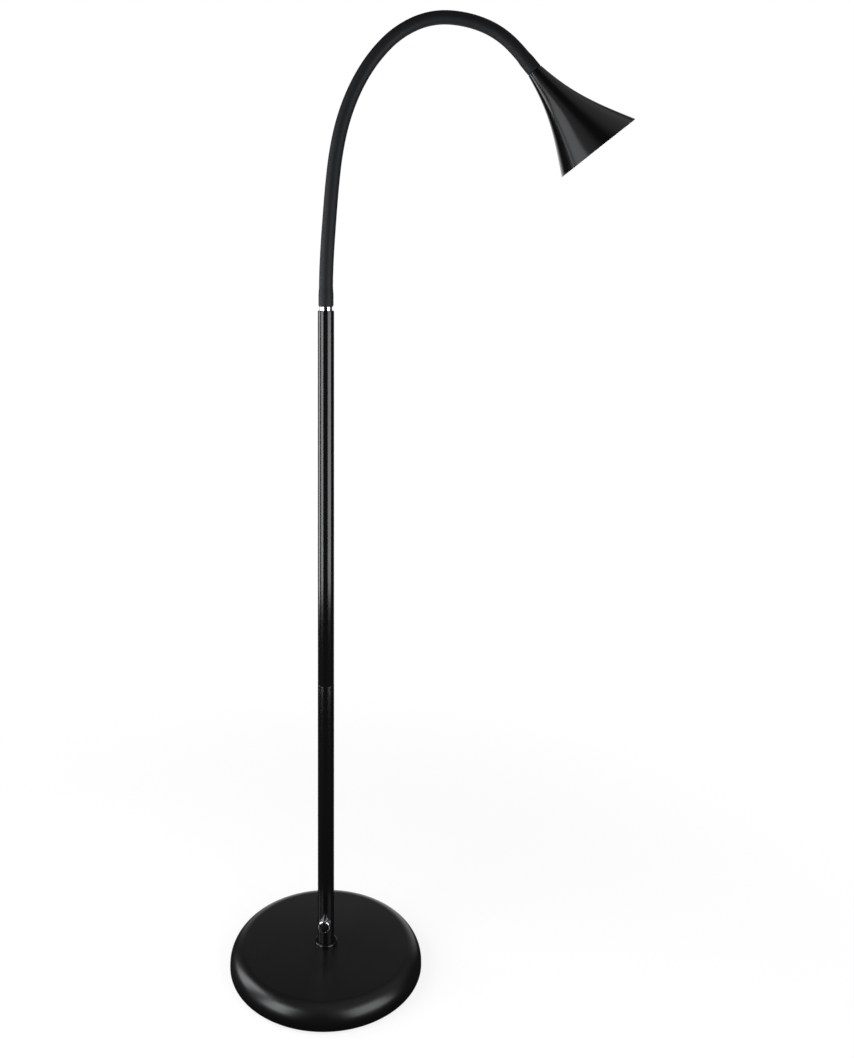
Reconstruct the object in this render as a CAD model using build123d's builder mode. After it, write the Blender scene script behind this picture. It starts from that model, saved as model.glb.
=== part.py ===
"""Gooseneck reading floor lamp: weighted round base, two-part tube pole with a push switch at its
foot, a bendable neck in a smooth rubber sleeve, and a trumpet shade with a recessed LED.

Units are millimetres. +Z is up, the origin is the centre of the base's underside, and the neck
bends towards +X. The switch faces -Y.
"""

from math import acos, atan2, cos, degrees, pi, radians, sin, tan
import os

from build123d import *

# ---------------------------------------------------------------- driving dimensions

# base
base_r = 127.0            # a ten-inch base
base_height = 28.0
shoulder_r = 20.0         # the rounded top edge
hem_bevel = 2.0           # the rounding under the lower edge
hem_width = 7.0
hem_z = 2.5               # underside of the turned-in hem
sheet = 1.2               # pressed steel of the cover and the plate
weight_r = 104.0
weight_height = 16.0
recess_r, recess_depth = 20.0, 10.0
nut_r, nut_height = 8.5, 5.0        # half the width across the nut's flats
washer_r, washer_height = 11.0, 1.5
gland_hole_r, gland_neck_r, gland_flange_r = 4.5, 4.4, 5.6
gland_out = 2.2           # how far the gland's flange stands out of the cover
cord_bore_r = 2.8

# pole
tube_r = 11.0
tube_wall = 1.0
lower_tube_length = 344.5
upper_tube_length = 498.5
collar_r = 14.6
collar_height = 3.6
plug_height = 12.0        # threaded plug in the lower end of each tube
socket_length, stud_r = 24.0, 6.0   # the threads that join the two tubes

# switch at the pole's foot
switch_z = base_height + 31.0
bezel_r = 8.0
bezel_depth = 19.0        # from the pole's axis out to the bezel's face
bezel_bevel = 1.3
button_r = 4.8
button_proud = 2.4        # how far the button stands out of the bezel
button_length = 8.4
button_bevel = 0.8
switch_bore_r = 5.1

# neck: a wound steel core in a rubber sleeve, drawn as equal sections between bending points
ring_r = 8.5
ring_height = 5.6
ferrule_r = 8.2
spigot = 16.0             # thread of each ferrule, past its seat
cuff = 24.0               # length of sleeve that stretches over each ferrule
cuff_r = 10.0
sleeve_r = 9.0
sleeve_bore_r = 7.3
core_r = 6.0
core_bore_r = 3.2
section = 46.0            # distance from one bending point to the next
gap = 1.6                 # each core section stops this far short of a bending point
turns = (2, 2, 0.5, 2, 6, 9, 10.5, 13.5, 22, 27.5, 18.5, 23, 5)  # degrees that each section bends

# shade and lamp
shade_length = 130.0
shade_wall = 1.2
flared_wall = shade_wall * 1.1      # the wall measured square to the axis, where it slopes
trumpet = ((10.4, 0), (15.5, 25), (22.7, 51), (34.6, 81), (46.8, 106), (59.2, shade_length))
throat_wall = 2.0
board_at = 41.0           # distance of the LED board from the throat
lens_at = 59.0

# leads and threads
lead_r = 1.25
m10_r = 5.0
clearance = 0.3

# sides of the round pieces that are drawn as many-sided ones, to keep their faces few
base_sides = 60
shade_sides = 48
sleeve_sides = 16
core_sides = 12
bezel_sides = 32
hidden_sides = 24

# ---------------------------------------------------------------- places worked out from them

cover_top = base_height
weight_top = base_height - sheet
weight_bottom = weight_top - weight_height
plate_bottom = hem_z + sheet
plate_top = plate_bottom + sheet
hem_inner_r = base_r - hem_width
plate_r = base_r - sheet - clearance
gland_z = plate_top + 5
gland_inner = base_r - 12
tube_bore_r = tube_r - tube_wall
joint_z = cover_top + lower_tube_length
pole_top = joint_z + upper_tube_length
sleeve_z = pole_top + ring_height
section_count = len(turns)
neck_runs = (
    [(cuff, 0), (section - cuff, turns[0])]
    + [(section, turn) for turn in turns[1:-1]]
    + [(section - cuff, turns[-1]), (cuff, 0)]
)
neck_length = sum(length for length, _ in neck_runs)


def neck_plane(distance):
    """The plane square to the neck's centre line, that far along it from the sleeve's lower edge."""
    x, z, lean, left = 0.0, sleeve_z, 0.0, distance
    for length, turn in neck_runs:
        step = min(left, length)
        bend = radians(turn) * step / length
        chord = step if bend == 0 else 2 * step / bend * sin(bend / 2)
        x += chord * sin(lean + bend / 2)
        z += chord * cos(lean + bend / 2)
        lean += bend
        left -= step
        if left <= 0:
            break
    return Plane(origin=(x, 0, z), x_dir=(0, 1, 0), z_dir=(sin(lean), 0, cos(lean)))


throat = neck_plane(neck_length)


def head_section(angle=0):
    """A half section of the head: x is the distance from its axis, y the distance from the throat."""
    side = throat.x_dir * cos(radians(angle)) + throat.y_dir * sin(radians(angle))
    return Plane(origin=throat.origin, x_dir=side, z_dir=side.cross(throat.z_dir))


def trumpet_r(along):
    """Radius of the shade's outside at a distance from the throat, on straight lines between points."""
    for (r0, s0), (r1, s1) in zip(trumpet, trumpet[1:]):
        if along <= s1:
            return r0 + (r1 - r0) * (along - s0) / (s1 - s0)
    return trumpet[-1][0]


def flare(widening, height, sides):
    """The taper that widens a regular polygon's corners by so much over a height."""
    return degrees(atan2(widening * cos(pi / sides), height))


def save(part, name):
    """Labels a finished piece and writes it as its own file."""
    part.label = name
    export_step(part, f"parts/{name}.step")


os.makedirs("parts", exist_ok=True)

# ---------------------------------------------------------------- base


def shoulder_bands(radius, angles):
    """Bands of a rounded shoulder, bottom up: low height, high height, low and high corner radius."""
    centre_r, centre_z = base_r - shoulder_r, cover_top - shoulder_r
    points = [
        (centre_z + radius * cos(radians(angle)), centre_r + radius * sin(radians(angle)))
        for angle in angles
    ]
    return [(low, high, wide, narrow) for (low, wide), (high, narrow) in zip(points, points[1:])]


wall_top = cover_top - shoulder_r
outer_bands = shoulder_bands(shoulder_r, range(90, -1, -18))
inner_bands = shoulder_bands(shoulder_r - sheet, range(90, -1, -45))

# the cover's outside as a solid: bevelled lower edge, short wall, round shoulder, flat top
with BuildPart() as cover_outside:
    with BuildSketch(-Plane.XY.offset(hem_z + hem_bevel)):
        RegularPolygon(base_r, base_sides)
    extrude(amount=hem_bevel, taper=flare(hem_bevel, hem_bevel, base_sides))
    for low, high, below, above in [(hem_z + hem_bevel, wall_top, base_r, base_r)] + outer_bands:
        with BuildSketch(Plane.XY.offset(low)):
            RegularPolygon(below, base_sides)
        extrude(amount=high - low, taper=flare(below - above, high - low, base_sides))

# pressed cover: hollow under its shoulder, with a hem turned in under the plate
with BuildPart() as base_cover:
    add(cover_outside.part)
    with BuildSketch(Plane.XY.offset(hem_z)):
        RegularPolygon(hem_inner_r, base_sides)
    extrude(amount=sheet, mode=Mode.SUBTRACT)
    with BuildSketch(Plane.XY.offset(plate_bottom)):
        RegularPolygon(base_r - sheet, base_sides)
    extrude(amount=wall_top - plate_bottom, mode=Mode.SUBTRACT)
    for low, high, below, above in inner_bands:
        with BuildSketch(Plane.XY.offset(low)):
            RegularPolygon(below, base_sides)
        slant = flare(below - above, high - low, base_sides)
        extrude(amount=high - low, taper=slant, mode=Mode.SUBTRACT)
    with BuildSketch(Plane.XY.offset(weight_top)):
        Circle(m10_r + clearance)
    extrude(amount=sheet, mode=Mode.SUBTRACT)
    # hole for the cord gland at the back
    with BuildSketch(Plane.XZ.offset(-base_r - 1)):
        with Locations((0, gland_z)):
            RegularPolygon(gland_hole_r, hidden_sides)
    extrude(amount=8, mode=Mode.SUBTRACT)
save(base_cover.part, "base_cover")

# cast weight: a disc with a recess for the nut, clamped up against the cover
with BuildPart() as base_weight:
    with BuildSketch(Plane.XY.offset(weight_bottom)):
        RegularPolygon(weight_r, base_sides)
    extrude(amount=weight_height)
    with BuildSketch(Plane.XY.offset(weight_bottom)):
        RegularPolygon(recess_r, hidden_sides)
    extrude(amount=recess_depth, mode=Mode.SUBTRACT)
    with BuildSketch(Plane.XY.offset(weight_bottom)):
        RegularPolygon(m10_r + clearance, hidden_sides)
    extrude(amount=weight_height, mode=Mode.SUBTRACT)
save(base_weight.part, "base_weight")

# bottom plate, held by the hem, and the foam pad the lamp stands on
with BuildPart() as base_plate:
    with BuildSketch(Plane.XY.offset(plate_bottom)):
        RegularPolygon(plate_r, base_sides)
    extrude(amount=sheet)
save(base_plate.part, "base_plate")

with BuildPart() as base_pad:
    with BuildSketch(Plane.XY):
        RegularPolygon(hem_inner_r - 1, base_sides)
    extrude(amount=plate_bottom)
save(base_pad.part, "base_pad")

# threaded tube that ties pole, cover and weight together, and its flanged nut
recess_top = weight_bottom + recess_depth
nipple_bottom = recess_top - washer_height - nut_height - 0.8
with BuildPart() as base_nipple:
    with BuildSketch(Plane.XY.offset(nipple_bottom)):
        RegularPolygon(m10_r, hidden_sides)
        RegularPolygon(core_bore_r, hidden_sides // 2, mode=Mode.SUBTRACT)
    extrude(amount=cover_top + plug_height - 2 - nipple_bottom)
save(base_nipple.part, "base_nipple")

with BuildPart() as base_nut:
    with BuildSketch(Plane.XY.offset(recess_top - washer_height)):
        RegularPolygon(washer_r, hidden_sides)
        Circle(m10_r, mode=Mode.SUBTRACT)
    extrude(amount=washer_height)
    with BuildSketch(Plane.XY.offset(recess_top - washer_height - nut_height)):
        RegularPolygon(nut_r, 6, major_radius=False)
        Circle(m10_r, mode=Mode.SUBTRACT)
    extrude(amount=nut_height)
save(base_nut.part, "base_nut")

# cord inlet: a rubber gland snapped into the cover's back wall, its flange shaped to the wall
gland_axis = Plane(origin=(0, gland_inner, gland_z), x_dir=(1, 0, 0), z_dir=(0, 1, 0))
with BuildPart() as cord_gland:
    with BuildSketch(gland_axis.offset(8)):
        RegularPolygon(gland_flange_r, hidden_sides)
    extrude(amount=base_r - gland_inner - 8 + gland_out)
    add(cover_outside.part, mode=Mode.SUBTRACT)
    with BuildSketch(gland_axis):
        RegularPolygon(gland_neck_r, hidden_sides)
    extrude(amount=base_r - gland_inner + 1)
    with BuildSketch(gland_axis):
        RegularPolygon(lead_r + 0.05, hidden_sides // 2)
    extrude(amount=6, mode=Mode.SUBTRACT)
    with BuildSketch(gland_axis.offset(5)):
        RegularPolygon(cord_bore_r, hidden_sides // 2)
    extrude(amount=12, mode=Mode.SUBTRACT)
save(cord_gland.part, "cord_gland")

# ---------------------------------------------------------------- pole

# looks along the switch's axis, out through the front of the pole
switch_face = Plane(origin=(0, 0, switch_z), x_dir=(1, 0, 0), z_dir=(0, -1, 0))

# loose collar round the pole where it meets the base
with BuildPart() as foot_collar:
    with BuildSketch(Plane.XY.offset(cover_top)):
        RegularPolygon(collar_r, shade_sides)
        RegularPolygon(tube_r + 0.15, shade_sides, mode=Mode.SUBTRACT)
    extrude(amount=collar_height)
save(foot_collar.part, "foot_collar")


# lower tube: a threaded foot, a threaded socket at its top, and a hole for the switch in front
with BuildPart() as lower_tube:
    for low, height, outer_r, bore_r in (
        (cover_top, lower_tube_length, tube_r, tube_bore_r),
        (cover_top, plug_height, tube_bore_r, m10_r),
        (joint_z - socket_length, socket_length, tube_bore_r, stud_r),
    ):
        with BuildSketch(Plane.XY.offset(low)):
            Circle(outer_r)
            Circle(bore_r, mode=Mode.SUBTRACT)
        extrude(amount=height)
    with BuildSketch(switch_face):
        RegularPolygon(switch_bore_r + 0.1, hidden_sides)
    extrude(amount=tube_r + 1, mode=Mode.SUBTRACT)
save(lower_tube.part, "lower_tube")

# upper tube: a stud that screws into the socket, and a threaded top for the neck
with BuildPart() as upper_tube:
    for low, height, outer_r, bore_r in (
        (joint_z, upper_tube_length, tube_r, tube_bore_r),
        (joint_z, plug_height, tube_bore_r, core_bore_r),
        (joint_z - socket_length + 4, socket_length - 4, stud_r, core_bore_r),
        (pole_top - spigot - 4, spigot + 4, tube_bore_r, m10_r),
    ):
        with BuildSketch(Plane.XY.offset(low)):
            Circle(outer_r)
            Circle(bore_r, mode=Mode.SUBTRACT)
        extrude(amount=height)
    chamfer(upper_tube.edges().group_by(Axis.Z)[-1].sort_by(SortBy.RADIUS)[-1], 0.5)
save(upper_tube.part, "upper_tube")

# ---------------------------------------------------------------- switch

body_r, body_back, body_front = 5.6, -3.0, 8.0
spring_seat = tube_bore_r
spring_r, spring_bore_r = 3.2, 2.5
button_front = bezel_depth + button_proud
button_back = button_front - button_length

# chrome collar, its back saddle-shaped to the tube, its front edge bevelled
with BuildPart() as switch_bezel:
    with BuildSketch(switch_face):
        RegularPolygon(bezel_r, bezel_sides)
    extrude(amount=bezel_depth - bezel_bevel)
    with BuildSketch(switch_face.offset(bezel_depth - bezel_bevel)):
        RegularPolygon(bezel_r, bezel_sides)
    extrude(amount=bezel_bevel, taper=flare(bezel_bevel, bezel_bevel, bezel_sides))
    with BuildSketch(Plane.XY.offset(switch_z - bezel_r)):
        Circle(tube_r)
    extrude(amount=2 * bezel_r, mode=Mode.SUBTRACT)
    with BuildSketch(switch_face):
        RegularPolygon(switch_bore_r, hidden_sides)
    extrude(amount=bezel_depth, mode=Mode.SUBTRACT)
save(switch_bezel.part, "switch_bezel")

# moulded switch body inside the tube, its neck reaching forward into the bezel
with BuildPart() as switch_body:
    with BuildSketch(switch_face.offset(body_back)):
        RegularPolygon(body_r, hidden_sides)
    extrude(amount=body_front - body_back)
    with BuildSketch(switch_face.offset(body_front)):
        RegularPolygon(switch_bore_r, hidden_sides)
    extrude(amount=spring_seat - body_front)
save(switch_body.part, "switch_body")

# push button with a bevelled face, and the spring behind it
with BuildPart() as switch_button:
    with BuildSketch(switch_face.offset(button_back)):
        RegularPolygon(button_r, hidden_sides)
    extrude(amount=button_length - button_bevel)
    with BuildSketch(switch_face.offset(button_front - button_bevel)):
        RegularPolygon(button_r, hidden_sides)
    extrude(amount=button_bevel, taper=flare(button_bevel, button_bevel, hidden_sides))
save(switch_button.part, "switch_button")

with BuildPart() as switch_spring:
    with BuildSketch(switch_face.offset(spring_seat)):
        RegularPolygon(spring_r, hidden_sides)
        RegularPolygon(spring_bore_r, hidden_sides // 2, mode=Mode.SUBTRACT)
    extrude(amount=button_back - spring_seat)
save(switch_spring.part, "switch_spring")

# two brass blades on the back of the switch, one for each lead
blade_length, blade_width, blade_thick = 5.2, 3.2, 0.8
blade_y = 5.8             # where a lead meets its blade, behind the pole's axis
blade_z = (switch_z - 3.0, switch_z + 3.0)
with BuildPart() as switch_terminals:
    for z in blade_z:
        with BuildSketch(Plane.XY.offset(z - blade_thick / 2)):
            with Locations((0, blade_length / 2 - body_back)):
                Rectangle(blade_width, blade_length)
        extrude(amount=blade_thick)
save(switch_terminals.part, "switch_terminals")

# ---------------------------------------------------------------- leads inside the base and pole


def lead_tube(line, start):
    """A lead along a line of straight runs and arcs, six-sided to keep its faces few."""
    with BuildPart() as piece:
        with BuildSketch(start) as end:
            RegularPolygon(lead_r, 6)
        sweep(path=line, transition=Transition.RIGHT)
    route = sum(edge.length for edge in line.edges())
    print(f"lead: {route:.1f} mm of route, {piece.part.volume / end.sketch.area:.1f} mm of tube")
    return piece.part


# from the gland, down to the bottom plate, in to the nipple, up through it and back to the switch
lead_low = plate_top + lead_r + 0.1
turn_up_r = nipple_bottom - lead_low - 0.5
step_z = gland_z - lead_low
step_r = 16.0
swing_r = 8.6
with BuildLine(Plane.YZ) as supply_line:
    first = PolarLine(start=(gland_inner + 5, gland_z), length=9, direction=(-1, 0))
    slope = degrees(acos(1 - step_z / (2 * step_r)))
    down = JernArc(start=first @ 1, tangent=first % 1, radius=step_r, arc_size=slope)
    level = JernArc(start=down @ 1, tangent=down % 1, radius=step_r, arc_size=-slope)
    along = Line(level @ 1, (turn_up_r, lead_low))
    up = JernArc(start=along @ 1, tangent=along % 1, radius=turn_up_r, arc_size=-90)
    rise = Line(up @ 1, (0, cover_top + plug_height - 1))
    swing = degrees(acos(1 - blade_y / (2 * swing_r)))
    out = JernArc(start=rise @ 1, tangent=rise % 1, radius=swing_r, arc_size=-swing)
    straight = JernArc(start=out @ 1, tangent=out % 1, radius=swing_r, arc_size=swing)
    Line(straight @ 1, (blade_y, blade_z[0] - blade_thick / 2))
start = Plane(origin=(0, gland_inner + 5, gland_z), x_dir=(1, 0, 0), z_dir=(0, -1, 0))
save(lead_tube(supply_line.line, start), "supply_lead")

# from the switch back to the pole's axis and up to the end of the neck's lower ferrule
return_r = 15.0
blade_top = blade_z[1] + blade_thick / 2
with BuildLine(Plane.YZ) as pole_line:
    off = Line((blade_y, blade_top), (blade_y, blade_top + 5))
    swing = degrees(acos(1 - blade_y / (2 * return_r)))
    out = JernArc(start=off @ 1, tangent=off % 1, radius=return_r, arc_size=swing)
    back = JernArc(start=out @ 1, tangent=out % 1, radius=return_r, arc_size=-swing)
    Line(back @ 1, (0, sleeve_z + cuff))
start = Plane(origin=(0, blade_y, blade_top), x_dir=(1, 0, 0), z_dir=(0, 0, 1))
save(lead_tube(pole_line.line, start), "pole_lead")

# ---------------------------------------------------------------- neck

# chrome ring between pole and sleeve
with BuildPart() as neck_ring:
    with BuildSketch(Plane.XY.offset(pole_top)):
        RegularPolygon(ring_r, shade_sides)
        RegularPolygon(m10_r, sleeve_sides, mode=Mode.SUBTRACT)
    extrude(amount=ring_height)
save(neck_ring.part, "neck_ring")


def ferrule(seat, outward):
    """A turned end fitting: a barrel on the neck side of its seat and a threaded spigot beyond it."""
    with BuildPart() as piece:
        with BuildSketch(seat):
            RegularPolygon(ferrule_r, sleeve_sides)
            RegularPolygon(core_bore_r, sleeve_sides // 2, mode=Mode.SUBTRACT)
        extrude(amount=-cuff * outward)
        with BuildSketch(seat):
            RegularPolygon(m10_r, sleeve_sides)
            RegularPolygon(core_bore_r, sleeve_sides // 2, mode=Mode.SUBTRACT)
        extrude(amount=spigot * outward)
    return piece.part


save(ferrule(neck_plane(0), -1), "lower_ferrule")
save(ferrule(throat, 1), "upper_ferrule")

def bend_corners(low, high):
    """Corners of straight runs that touch the neck's centre line between two distances along it."""
    corners, start = [neck_plane(low)], 0.0
    for length, turn in neck_runs:
        begin, end = max(low, start), min(high, start + length)
        bend = radians(turn) * (end - begin) / length
        parts = max(1, round(degrees(bend) / 8))
        if bend > 0:
            reach = (end - begin) / bend * tan(bend / parts / 2)
            steps = [begin + (end - begin) * number / parts for number in range(parts)]
            corners += [neck_plane(step).offset(reach) for step in steps]
        start += length
    return [(corner.origin.X, corner.origin.Z) for corner in corners + [neck_plane(high)]]


# the rubber sleeve: one piece over the whole neck, its two ends stretched over the ferrules
lead_start = neck_plane(cuff)
with BuildLine(Plane.XZ) as bends:
    Polyline(*bend_corners(cuff, neck_length - cuff))
with BuildPart() as neck_sleeve:
    with BuildSketch(lead_start):
        RegularPolygon(sleeve_r, sleeve_sides)
    sweep(path=bends.line, transition=Transition.RIGHT)
    for seat, along in ((neck_plane(0), 1), (throat, -1)):
        for radius, place in ((cuff_r, 0), (cuff_r, cuff - 5), (sleeve_r, cuff)):
            with BuildSketch(seat.offset(along * place)):
                RegularPolygon(radius, sleeve_sides)
        loft(ruled=True)
    with BuildSketch(lead_start):
        RegularPolygon(sleeve_bore_r, core_sides)
    sweep(path=bends.line, transition=Transition.RIGHT, mode=Mode.SUBTRACT)
    for seat, along in ((neck_plane(0), 1), (throat, -1)):
        with BuildSketch(seat):
            RegularPolygon(ferrule_r, sleeve_sides)
        extrude(amount=along * cuff, mode=Mode.SUBTRACT)
save(neck_sleeve.part, "neck_sleeve")

# the lead inside the neck bends with it
save(lead_tube(bends.line, lead_start), "neck_lead")


def core_piece(low, high):
    """A stretch of the wound steel core as a faceted tube, in straight runs with mitred corners."""
    with BuildPart() as piece:
        with BuildLine(Plane.XZ) as runs:
            Polyline(*bend_corners(low, high))
        for radius, sides, how in (
            (core_r, core_sides, Mode.ADD),
            (core_bore_r, core_sides // 2, Mode.SUBTRACT),
        ):
            with BuildSketch(neck_plane(low)):
                RegularPolygon(radius, sides)
            sweep(path=runs.line, transition=Transition.RIGHT, mode=how)
    return piece.part


for number in range(section_count):
    low = cuff if number == 0 else section * number + gap
    high = neck_length - cuff if number == section_count - 1 else section * (number + 1) - gap
    save(core_piece(low, high), f"neck_core_{number}")

# ---------------------------------------------------------------- head

# spun shade: a trumpet in flared bands, with a flat wall at the throat for the ferrule's thread
hollow = ((trumpet_r(throat_wall), throat_wall), *trumpet[1:])
with BuildPart() as shade:
    for bands, wall, how in ((trumpet, 0, Mode.ADD), (hollow, flared_wall, Mode.SUBTRACT)):
        for (narrow, low), (wide, high) in zip(bands, bands[1:]):
            with BuildSketch(-throat.offset(high)):
                RegularPolygon(wide - wall, shade_sides)
            slant = flare(wide - narrow, high - low, shade_sides)
            extrude(amount=high - low, taper=slant, mode=how)
    with BuildSketch(throat):
        Circle(m10_r + clearance)
    extrude(amount=throat_wall, mode=Mode.SUBTRACT)
save(shade.part, "shade")

# turned and milled heat sink that screws onto the ferrule's spigot and clamps the shade
fin_count, fin_thick, fin_r = 8, 1.6, 14.6
board_r = cup_r = 15.5
sink_r = 7.4
plate_at = board_at - 3
with BuildPart() as heat_sink:
    with BuildSketch(throat.offset(throat_wall)):
        RegularPolygon(sink_r, hidden_sides)
    extrude(amount=board_at - throat_wall)
    with BuildSketch(throat.offset(plate_at)):
        RegularPolygon(board_r, hidden_sides)
    extrude(amount=board_at - plate_at)
    for number in range(fin_count):
        with BuildSketch(head_section(number * 360 / fin_count)):
            Polygon(
                (sink_r - 1, 10),
                (sink_r + 1.5, 10),
                (fin_r, plate_at),
                (sink_r - 1, plate_at),
                align=None,
            )
        extrude(amount=fin_thick / 2, both=True)
    with BuildSketch(throat):
        Circle(m10_r)
    extrude(amount=spigot, mode=Mode.SUBTRACT)
    with BuildSketch(throat):
        RegularPolygon(lead_r + clearance, 8)
    extrude(amount=board_at, mode=Mode.SUBTRACT)
save(heat_sink.part, "heat_sink")

# LED board with its round emitter
board_thick, emitter_thick, emitter_r = 1.6, 1.2, 6.5
emitter_at = board_at + board_thick
with BuildPart() as led_board:
    with BuildSketch(throat.offset(board_at)):
        RegularPolygon(board_r, hidden_sides)
    extrude(amount=board_thick)
save(led_board.part, "led_board")

with BuildPart() as led_emitter:
    with BuildSketch(throat.offset(emitter_at)):
        RegularPolygon(emitter_r, hidden_sides)
    extrude(amount=emitter_thick)
save(led_emitter.part, "led_emitter")

# white moulded cup round the emitter; its flange closes the throat of the shade
cup_wall = 1.4
flange_r = trumpet_r(lens_at) - flared_wall - 0.9
flange_thick = 1.4
with BuildPart() as lamp_cup:
    with BuildSketch(throat.offset(emitter_at)):
        RegularPolygon(cup_r, hidden_sides)
        RegularPolygon(cup_r - cup_wall, hidden_sides, mode=Mode.SUBTRACT)
    extrude(amount=lens_at - emitter_at)
    with BuildSketch(throat.offset(lens_at - flange_thick)):
        RegularPolygon(flange_r, shade_sides)
        RegularPolygon(cup_r - cup_wall, hidden_sides, mode=Mode.SUBTRACT)
    extrude(amount=flange_thick)
save(lamp_cup.part, "lamp_cup")

# frosted lens and the screw ring that holds it on the cup
lens_thick, lens_r, ring_wall, ring_lip = 2.0, cup_r, 2.2, 1.2
with BuildPart() as lens:
    with BuildSketch(throat.offset(lens_at)):
        RegularPolygon(lens_r, hidden_sides)
    extrude(amount=lens_thick)
save(lens.part, "lens")

with BuildPart() as lens_ring:
    with BuildSketch(throat.offset(lens_at)):
        RegularPolygon(lens_r + ring_wall, shade_sides)
        RegularPolygon(lens_r, hidden_sides, mode=Mode.SUBTRACT)
    extrude(amount=lens_thick)
    with BuildSketch(throat.offset(lens_at + lens_thick)):
        RegularPolygon(lens_r + ring_wall, shade_sides)
        RegularPolygon(lens_r - ring_lip, hidden_sides, mode=Mode.SUBTRACT)
    extrude(amount=ring_lip)
save(lens_ring.part, "lens_ring")
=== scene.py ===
# %% [markdown]
# # A gooseneck reading floor lamp
# The lamp has a heavy round base, a straight pole in two tubes, a push switch at the pole's
# foot, a neck that bends in a rubber sleeve, and a trumpet shade. The solid model is loaded
# first and never moved. Each surface that the eye sees is then made again, smooth, in the same
# place, and given the finish of the real one.

import bmesh
import bpy
import numpy as np
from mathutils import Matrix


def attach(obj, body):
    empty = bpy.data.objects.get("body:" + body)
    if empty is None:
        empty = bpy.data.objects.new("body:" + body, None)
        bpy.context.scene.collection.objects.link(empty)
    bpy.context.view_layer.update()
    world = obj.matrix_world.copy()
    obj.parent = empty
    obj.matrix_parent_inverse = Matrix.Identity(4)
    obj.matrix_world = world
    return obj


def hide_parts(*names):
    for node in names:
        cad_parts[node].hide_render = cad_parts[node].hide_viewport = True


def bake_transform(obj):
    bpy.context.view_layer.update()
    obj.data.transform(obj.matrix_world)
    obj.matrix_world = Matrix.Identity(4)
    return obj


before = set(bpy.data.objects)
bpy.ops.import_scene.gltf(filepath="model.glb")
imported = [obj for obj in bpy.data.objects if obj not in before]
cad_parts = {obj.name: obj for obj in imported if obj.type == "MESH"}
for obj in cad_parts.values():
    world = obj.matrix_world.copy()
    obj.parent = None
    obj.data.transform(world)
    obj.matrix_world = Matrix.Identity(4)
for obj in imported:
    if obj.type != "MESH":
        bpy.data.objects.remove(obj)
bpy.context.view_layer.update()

MM = 0.001  # the scene is in metres, and every size below is in millimetres

# %% [markdown]
# ## The camera
# A studio photographer keeps upright things upright by holding the camera level and sliding
# the lens, as on a view camera. So this camera stands level, a little higher than the top of
# the pole and to its right, and the lens's shift takes in the base below. The alternative is to
# tilt the camera, but then the pole would lean in the picture and grow thinner towards its foot.

# %% Set the camera level, with a shifted lens
VIEW_TURN = np.radians(6.6)
CAMERA_PLACE = (197.3, -1369.4, 952.1)
PICTURE = (854, 1058)
HORIZON = (354.9, 250.0)  # the pixel of the picture that lies straight ahead of the lens
PIXELS_TO_THE_LENS = 1035.5  # the lens's distance from the picture, in the picture's pixels
FILM = 36

camera_data = bpy.data.cameras.new("camera")
camera_data.sensor_width = FILM
camera_data.lens = FILM * PIXELS_TO_THE_LENS / PICTURE[1]
camera_data.shift_x = (PICTURE[0] / 2 - HORIZON[0]) / PICTURE[1]
camera_data.shift_y = (HORIZON[1] - PICTURE[1] / 2) / PICTURE[1]
camera = bpy.data.objects.new("camera", camera_data)
bpy.context.scene.collection.objects.link(camera)
camera.location = np.array(CAMERA_PLACE) * MM
camera.rotation_euler = (np.radians(90), 0, VIEW_TURN)
bpy.context.scene.camera = camera
print("lens", round(camera_data.lens, 2), "mm, shifted by", round(camera_data.shift_y, 3))

# %% [markdown]
# ## Meshes and pieces
# Each new surface is worked out as a grid of points, row by row, and each four neighbours make
# one face. A mesh could also be built vertex by vertex, but whole arrays are quicker and keep
# the shape's formula in one place. A second helper puts the mesh in the scene as a piece: it
# rides on a body of the solid model, and stands for the solids that it covers.

# %% Make a mesh from a grid of points


def grid_mesh(name, points, wrap=(True, True), sharp=35):
    """A surface from points[i, j]: each four neighbours make one face.

    wrap says, for each direction, whether the last row joins the first. Equal points are
    merged, which closes poles, and the faces of the closed surface then point outwards.
    """
    rows, columns = points.shape[:2]
    index = np.arange(rows * columns).reshape(rows, columns)
    i = np.arange(rows if wrap[0] else rows - 1)[:, None]
    j = np.arange(columns if wrap[1] else columns - 1)[None, :]
    after_i, after_j = (i + 1) % rows, (j + 1) % columns
    quads = np.stack(
        [index[i, j], index[after_i, j], index[after_i, after_j], index[i, after_j]], axis=-1
    )
    mesh = bpy.data.meshes.new(name)
    mesh.from_pydata(points.reshape(-1, 3) * MM, [], quads.reshape(-1, 4))
    return finish_mesh(mesh, sharp)


def finish_mesh(mesh, sharp=35):
    """Merges equal points, turns the faces outwards and shades the surface smooth."""
    work = bmesh.new()
    work.from_mesh(mesh)
    bmesh.ops.remove_doubles(work, verts=work.verts, dist=1e-7)
    bmesh.ops.recalc_face_normals(work, faces=work.faces)
    work.to_mesh(mesh)
    work.free()
    mesh.shade_smooth()
    mesh.set_sharp_from_angle(angle=np.radians(sharp))
    return mesh


def new_piece(name, mesh, body, nodes, material):
    """Puts a mesh in the scene as a piece that rides on a body and stands for CAD nodes."""
    mesh.name = name
    piece = bpy.data.objects.new(name, mesh)
    bpy.context.scene.collection.objects.link(piece)
    piece.data.materials.append(material)
    if body:
        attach(piece, body)
    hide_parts(*nodes)
    return piece


print("helpers for meshes and pieces are ready")

# %% [markdown]
# ## Rounded corners
# No edge of a real part is sharp: a tool, a press or a coat of paint leaves a radius, and that
# radius catches the light as a thin line. The Bevel modifier would round the finished mesh. Here
# the outline is rounded before it is turned, so each corner has the radius of its own tool.

# %% Round the corners of an outline


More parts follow.
